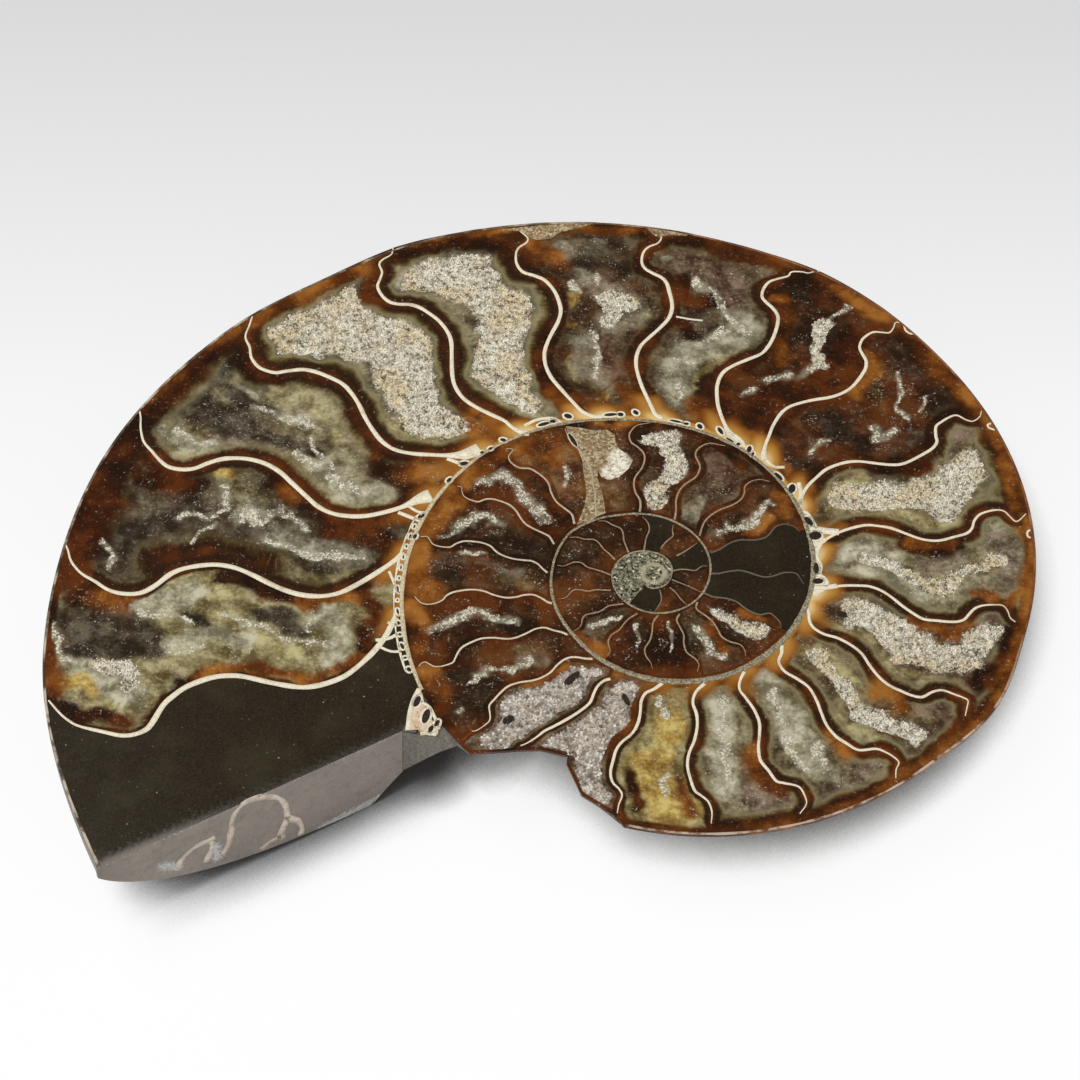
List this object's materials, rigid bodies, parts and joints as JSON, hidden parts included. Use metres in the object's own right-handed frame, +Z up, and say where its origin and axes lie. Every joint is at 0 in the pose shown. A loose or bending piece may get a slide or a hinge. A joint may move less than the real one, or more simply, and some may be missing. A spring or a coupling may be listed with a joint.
{
  "type": "ammonite fossil half",
  "caption": "Half of a fossil ammonite, sawn through its plane of symmetry, with a flat polished face showing the chambers and a convex shell flank that it lies on.",
  "frame": {"origin": "middle of the bounding box, on the surface that the stone lies on", "axes": "+Z up; +X along the face's longest extent, from the body chamber's side to the opposite side; the polished face looks up, tilted 3 degrees, with the body chamber's end highest"},
  "size_m": [0.1388, 0.1204, 0.0169],
  "materials": {
    "fossil_stone": "polished amber-brown calcite",
    "shell_wall": "polished cream shell",
    "crystal_lining": "granular crystals",
    "chamber_rock": "satin dark olive rock",
    "sawn_rock": "matt sawn grey rock",
    "flank_shell": "weathered shell, faintly pearly"
  },
  "bodies": {
    "root": {"ammonite_half": "fossil_stone"}
  },
  "joints": []
}
